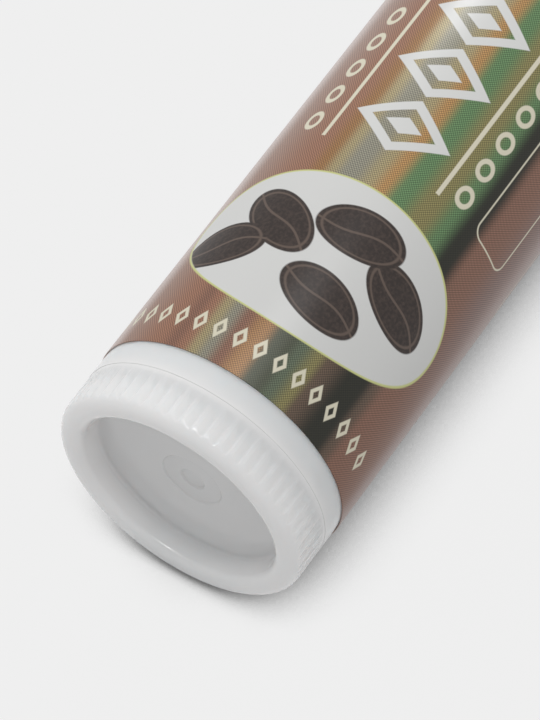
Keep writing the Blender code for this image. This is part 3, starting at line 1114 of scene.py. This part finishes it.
    def build(self) -> list[bpy.types.Object]:
        """Make the wheel's pieces.

        Returns:
            The wheel, the spindle with its hub, and the thread.
        """
        material, where = self.finish.material(), self.placement
        return [
            laid_piece("twist_wheel_body", self.body_mesh(), material, where, sharp_degrees=50),
            laid_piece("twist_wheel_spindle", self.spindle_mesh(), material, where),
            laid_piece("twist_wheel_thread", self.thread_mesh(), material, where),
        ]


@dataclass
class Barrel:
    """White barrel with its collar, web, ribbed bore and beaded neck."""

    body_radius: float = 0.0079
    collar_station: float = 0.00292
    counterbore: float = 0.0068
    web_bottom: float = 0.00407
    web_top: float = 0.00527
    hole_radius: float = 0.00422
    bore_radius: float = 0.0062
    neck_radius: float = 0.00695
    seam_station: float = 0.0435
    seam_round: float = 0.00015
    mouth_station: float = 0.0580
    mouth_round: float = 0.0002
    bead_height: float = 0.00006
    bead_length: float = 0.0006
    bead_inset: float = 0.0016
    rib_inside: float = 0.0057
    rib_outside: float = 0.0065
    rib_width: float = 0.0009
    rib_sink: float = 0.0003
    rib_stop: float = 0.0025
    placement: Placement = Placement(Body.BARREL, "barrel", "body_plastic")
    finish: MouldedPlastic = MouldedPlastic(
        name="barrel_plastic_finish",
        colour=(0.815, 0.812, 0.81),
        shade=(0.80, 0.797, 0.795),
        roughness=0.18,
        glow=0.8,
        glow_reach=0.0023,
    )

    def bead(self, station: float) -> list[Corner]:
        """List the corners of one low friction bead on the neck.

        Args:
            station: Station of the bead's top line.

        Returns:
            Its corners in order.
        """
        half = self.bead_length / 2
        return [
            Corner(self.neck_radius, station + half),
            Corner(self.neck_radius + self.bead_height, station, EDGE_ROUND),
            Corner(self.neck_radius, station - half),
        ]

    def mesh(self) -> bmesh.types.BMesh:
        """Turn the barrel and stand the ribs in its bore.

        Returns:
            The barrel's mesh, upright.
        """
        corners = [
            Corner(self.bore_radius, self.mouth_station, self.mouth_round),
            Corner(self.neck_radius, self.mouth_station, self.mouth_round),
            *self.bead(self.mouth_station - self.bead_inset),
            *self.bead(self.seam_station + self.bead_inset),
            Corner(self.neck_radius, self.seam_station),
            Corner(self.body_radius, self.seam_station, self.seam_round),
            Corner(self.body_radius, self.collar_station),
            Corner(self.counterbore, self.collar_station, EDGE_ROUND),
            Corner(self.counterbore, self.web_bottom),
            Corner(self.hole_radius, self.web_bottom, EDGE_ROUND),
            Corner(self.hole_radius, self.web_top, EDGE_ROUND),
            Corner(self.bore_radius, self.web_top),
        ]
        bm = turned(corners, ROUND_STEPS, closed=True)
        bars_round_axis(
            bm,
            RIBS,
            self.rib_inside,
            self.rib_outside,
            self.rib_width,
            bottom=self.web_top - self.rib_sink,
            top=self.mouth_station - self.rib_stop,
        )
        return bm

    def build(self) -> list[bpy.types.Object]:
        """Make the barrel."""
        return [laid_piece("barrel_moulding", self.mesh(), self.finish.material(), self.placement)]


@dataclass
class Cap:
    """White cap with a rounded closed end and a gate mark in its middle."""

    radius: float = 0.0079
    inside: float = 0.00706
    start: float = 0.04365
    end: float = 0.0675
    end_thickness: float = 0.0012
    end_round: float = 0.0007
    start_round: float = 0.00015
    inside_round: float = 0.0005
    dish_mouth: float = 0.0016
    dish_floor: float = 0.0011
    dish_depth: float = 0.00030
    dish_round: float = 0.00006
    gate_foot: float = 0.00052
    gate_top: float = 0.0004
    gate_depth: float = 0.00022
    gate_round: float = 0.00004
    placement: Placement = Placement(Body.CAP, "cap", "body_plastic")
    finish: MouldedPlastic = MouldedPlastic(
        name="cap_plastic_finish",
        colour=(0.815, 0.812, 0.81),
        shade=(0.80, 0.797, 0.795),
        roughness=0.18,
        glow=0.8,
    )

    def mesh(self) -> bmesh.types.BMesh:
        """Turn the cap, from the gate mark in its dish round to its inner end.

        Returns:
            The cap's mesh, upright.
        """
        gate, dish = self.end - self.gate_depth, self.end - self.dish_depth
        corners = [
            Corner(0, gate),
            Corner(self.gate_top, gate, self.gate_round),
            Corner(self.gate_foot, dish, self.gate_round),
            Corner(self.dish_floor, dish, self.dish_round),
            Corner(self.dish_mouth, self.end, EDGE_ROUND),
            Corner(self.radius, self.end, self.end_round),
            Corner(self.radius, self.start, self.start_round),
            Corner(self.inside, self.start, self.start_round),
            Corner(self.inside, self.end - self.end_thickness, self.inside_round),
            Corner(0, self.end - self.end_thickness),
        ]
        return turned(corners, ROUND_STEPS, closed=False)

    def build(self) -> list[bpy.types.Object]:
        """Make the cap."""
        return [laid_piece("cap_moulding", self.mesh(), self.finish.material(), self.placement)]


@dataclass
class WrapLabel:
    """The wrap label in its two lengths, torn at the cap seam."""

    radius: float = 0.00798
    inside: float = 0.00792
    barrel_start: float = 0.00455
    barrel_end: float = 0.0434
    cap_start: float = 0.04375
    cap_end: float = 0.0659
    cut_round: float = 0.00002
    barrel_print_mm: Pair = (20.9, 42.6)
    cap_print_mm: Pair = (44.6, 64.9)
    finish: HoloLabel = HoloLabel()

    def sleeve(self, start: float, end: float) -> bmesh.types.BMesh:
        """Turn one thin closed sleeve with softened edges.

        Args:
            start: Its lower station.
            end: Its upper station.

        Returns:
            The sleeve's mesh, upright.
        """
        corners = [
            Corner(self.radius, end, self.cut_round, facets=2),
            Corner(self.radius, start, self.cut_round, facets=2),
            Corner(self.inside, start),
            Corner(self.inside, end),
        ]
        return turned(corners, ROUND_STEPS, closed=True)

    def build(self) -> list[bpy.types.Object]:
        """Make both lengths.

        Returns:
            The length on the barrel and the length on the cap.
        """
        on_barrel = Placement(Body.BARREL, "barrel_label", "label_foil")
        on_cap = Placement(Body.CAP, "cap_label", "label_foil")
        lower_finish = self.finish.material(*self.barrel_print_mm, with_patch=True)
        upper_finish = self.finish.material(*self.cap_print_mm, with_patch=False)
        lower = self.sleeve(self.barrel_start, self.barrel_end)
        upper = self.sleeve(self.cap_start, self.cap_end)
        return [
            laid_piece("label_on_barrel", lower, lower_finish, on_barrel),
            laid_piece("label_on_cap", upper, upper_finish, on_cap),
        ]


@dataclass
class Balm:
    """Wax balm with a low dome, grooved where the barrel's ribs run."""

    radius: float = 0.0061
    dome_height: float = 0.0014
    dome_inset: float = 0.0006
    dome_rows: int = 10
    shoulder_round: float = 0.0005
    mouth_station: float = 0.0580
    shoulder: float = 0.01329
    cup_radius: float = 0.0053
    cup_floor: float = 0.00759
    nut_radius: float = 0.00385
    nut_top: float = 0.01269
    thread_bore: float = 0.0030
    spindle_top: float = 0.0501
    rib_inside: float = 0.0056
    rib_half_width: float = 0.00055
    rib_top: float = 0.0556
    groove_step: float = 0.00005
    steps: int = 288
    placement: Placement = Placement(Body.CARRIER, "balm", "balm_wax")
    finish: CastWax = CastWax()

    def dome(self) -> list[Corner]:
        """List corners down the dome, which is part of a ball.

        Returns:
            The corners from its middle to its edge.
        """
        edge = self.radius - self.dome_inset
        ball = (edge**2 + self.dome_height**2) / (2 * self.dome_height)
        reach = math.asin(edge / ball)
        corners = []
        for row in range(self.dome_rows + 1):
            angle = reach * row / self.dome_rows
            station = self.mouth_station + self.dome_height - ball * (1 - math.cos(angle))
            corners.append(Corner(ball * math.sin(angle), station))
        return corners

    def mesh(self) -> bmesh.types.BMesh:
        """Turn the balm and press the ribs' grooves in.

        Returns:
            The balm's mesh, upright.
        """
        corners = [
            *self.dome(),
            Corner(self.radius, self.mouth_station, self.shoulder_round),
            Corner(self.radius, self.rib_top + self.groove_step),
            Corner(self.radius, self.rib_top - self.groove_step),
            Corner(self.radius, self.shoulder),
            Corner(self.cup_radius, self.shoulder),
            Corner(self.cup_radius, self.cup_floor),
            Corner(self.nut_radius, self.cup_floor),
            Corner(self.nut_radius, self.nut_top),
            Corner(self.thread_bore, self.nut_top),
            Corner(self.thread_bore, self.spindle_top),
            Corner(0, self.spindle_top),
        ]
        bm = turned(corners, self.steps, closed=False)
        pitch = 2 * math.pi / RIBS
        for vert in bm.verts:
            radius = math.hypot(vert.co.x, vert.co.y)
            turn = math.atan2(vert.co.y, vert.co.x) - START_TURN
            across = abs(turn - round(turn / pitch) * pitch) * self.radius
            below_rib_top = self.shoulder - MERGE_DISTANCE < vert.co.z < self.rib_top
            if radius > self.rib_inside and below_rib_top and across < self.rib_half_width:
                vert.co.xy *= self.rib_inside / radius
        return bm

    def build(self) -> list[bpy.types.Object]:
        """Make the balm."""
        material = self.finish.material()
        return [laid_piece("balm_casting", self.mesh(), material, self.placement, sharp_degrees=40)]


@dataclass
class CarrierCup:
    """The carrier, whose solid is kept as it is and only gets its finish."""

    node: str = "carrier"
    finish: MouldedPlastic = MouldedPlastic(
        name="carrier_plastic_finish",
        colour=(0.80, 0.80, 0.795),
        shade=(0.76, 0.76, 0.75),
        roughness=0.36,
        glow=0.2,
    )

    def build(self) -> list[bpy.types.Object]:
        """Dress the carrier.

        Returns:
            The carrier's solid alone.
        """
        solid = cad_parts[self.node]
        material = self.finish.material()
        if not solid.data.materials:
            solid.data.materials.append(material)
        for index in range(len(solid.data.materials)):
            solid.data.materials[index] = material
        return [solid]


@dataclass(frozen=True)
class Lamp:
    """One soft lamp: its name, where it stands, how strong it is and how wide it looks."""

    name: str
    stands: tuple[float, float, float]
    strength: float
    spread_degrees: float

    def build(self) -> None:
        """Hang the lamp."""
        data = bpy.data.lights.new(self.name, "SUN")
        data.energy = self.strength
        data.angle = math.radians(self.spread_degrees)
        lamp = bpy.data.objects.new(self.name, data)
        lamp.rotation_euler = Vector(self.stands).to_track_quat("Z", "Y").to_euler()
        bpy.context.scene.collection.objects.link(lamp)


@dataclass
class Studio:
    """Pale ground, soft lamps, an even fill and the camera."""

    ground_size: float = 1.5
    bounce_colour: Colour = (0.62, 0.62, 0.62)
    seen_colour: Colour = (0.02, 0.02, 0.02)
    seen_glow: float = 0.845
    shadow_glow: float = 0.135
    shadow_bounce: float = 0.12
    shadow_reach: float = 0.008
    shadow_full: float = 0.33
    shadow_gone: float = 0.68
    shadow_fall: float = 1.8
    shadow_lean: tuple[float, float, float] = (0.14, -0.03, 0.99)
    shadow_samples: int = 16
    backdrop_strength: float = 0.863
    fill_strength: float = 0.578
    lamps: tuple[Lamp, ...] = (
        Lamp("overhead_lamp", (0.0, 0.0, 1.0), 0.50, 30.0),
        Lamp("glint_lamp", (-0.12, 0.04, 0.99), 0.23, 11.5),
        Lamp("side_lamp", (0.75, 0.50, 0.43), 0.95, 18.0),
    )
    camera_place: tuple[float, float, float] = (-0.1365029, -0.0725296, 0.2193258)
    camera_turn_degrees: tuple[float, float, float] = (32.5504, 0.0, -57.1557)
    camera_reach: Pair = (0.01, 10.0)
    lens_mm: float = 225.0

    def ground_finish(self) -> bpy.types.Material:
        """Make a pale finish that loses its glow where the stick hides the sky from it.

        Returns:
            The material.
        """
        sketch = Sketch("ground_finish")
        path = sketch.node("ShaderNodeLightPath")
        seen = sketch.either(path.outputs["Is Camera Ray"], path.outputs["Is Glossy Ray"])
        open_sky = sketch.node("ShaderNodeAmbientOcclusion", samples=self.shadow_samples)
        open_sky.inputs["Distance"].default_value = self.shadow_reach
        leaning = sketch.node("ShaderNodeCombineXYZ")
        for socket, share in zip(leaning.inputs, self.shadow_lean):
            socket.default_value = share
        sketch.feed(open_sky.inputs["Normal"], leaning.outputs["Vector"])
        hidden = sketch.mapped(open_sky.outputs["AO"], self.shadow_full, self.shadow_gone, 1.0, 0.0)
        shade = sketch.math("POWER", hidden, self.shadow_fall)
        glow = sketch.mapped(shade, 0.0, 1.0, self.seen_glow, self.shadow_glow)
        bounce_share = sketch.mapped(shade, 0.0, 1.0, 1.0, self.shadow_bounce)
        bounce = sketch.multiply(self.bounce_colour, bounce_share)
        sketch.set(
            Base_Color=sketch.mix(seen, bounce, self.seen_colour),
            Roughness=0.9,
            Specular_IOR_Level=0.0,
            Emission_Color=(1.0, 1.0, 1.0),
            Emission_Strength=sketch.times(seen, glow),
        )
        return sketch.material

    def ground(self) -> None:
        """Lay the plain ground."""
        bm = bmesh.new()
        bmesh.ops.create_grid(bm, x_segments=1, y_segments=1, size=self.ground_size)
        mesh = bpy.data.meshes.new("ground")
        bm.to_mesh(mesh)
        bm.free()
        mesh.materials.append(self.ground_finish())
        ground = bpy.data.objects.new("ground", mesh)
        bpy.context.scene.collection.objects.link(ground)

    def world(self) -> None:
        """Fill the scene with even white light, with a level of its own for what is seen."""
        world = bpy.data.worlds.new("studio_fill")
        bpy.context.scene.world = world
        world.use_nodes = True
        tree = world.node_tree
        background = tree.nodes["Background"]
        path = tree.nodes.new("ShaderNodeLightPath")
        seen = tree.nodes.new("ShaderNodeMath")
        seen.operation = "MAXIMUM"
        tree.links.new(path.outputs["Is Camera Ray"], seen.inputs[0])
        tree.links.new(path.outputs["Is Glossy Ray"], seen.inputs[1])
        level = tree.nodes.new("ShaderNodeMapRange")
        tree.links.new(seen.outputs[0], level.inputs[0])
        level.inputs[3].default_value = self.fill_strength
        level.inputs[4].default_value = self.backdrop_strength
        tree.links.new(level.outputs[0], background.inputs["Strength"])
        background.inputs["Color"].default_value = (1, 1, 1, 1)

    def camera(self) -> None:
        """Stand the camera at the photograph's angle."""
        data = bpy.data.cameras.new("camera")
        data.lens = self.lens_mm
        data.clip_start, data.clip_end = self.camera_reach
        camera = bpy.data.objects.new("camera", data)
        camera.location = self.camera_place
        camera.rotation_euler = [math.radians(degrees) for degrees in self.camera_turn_degrees]
        bpy.context.scene.collection.objects.link(camera)
        bpy.context.scene.camera = camera

    def build(self) -> None:
        """Set the whole stage."""
        bpy.context.scene.view_settings.view_transform = "Standard"
        self.ground()
        self.world()
        self.camera()
        for lamp in self.lamps:
            lamp.build()


def main() -> None:
    """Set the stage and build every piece."""
    logging.basicConfig(level=logging.INFO, format="%(name)s: %(message)s")
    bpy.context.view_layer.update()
    Studio().build()
    for part in (TwistWheel(), Barrel(), WrapLabel(), Cap(), CarrierCup(), Balm()):
        for piece in part.build():
            LOG.info("%s: %s, %d faces", type(part).__name__, piece.name, len(piece.data.polygons))


if __name__ == "__main__":
    main()
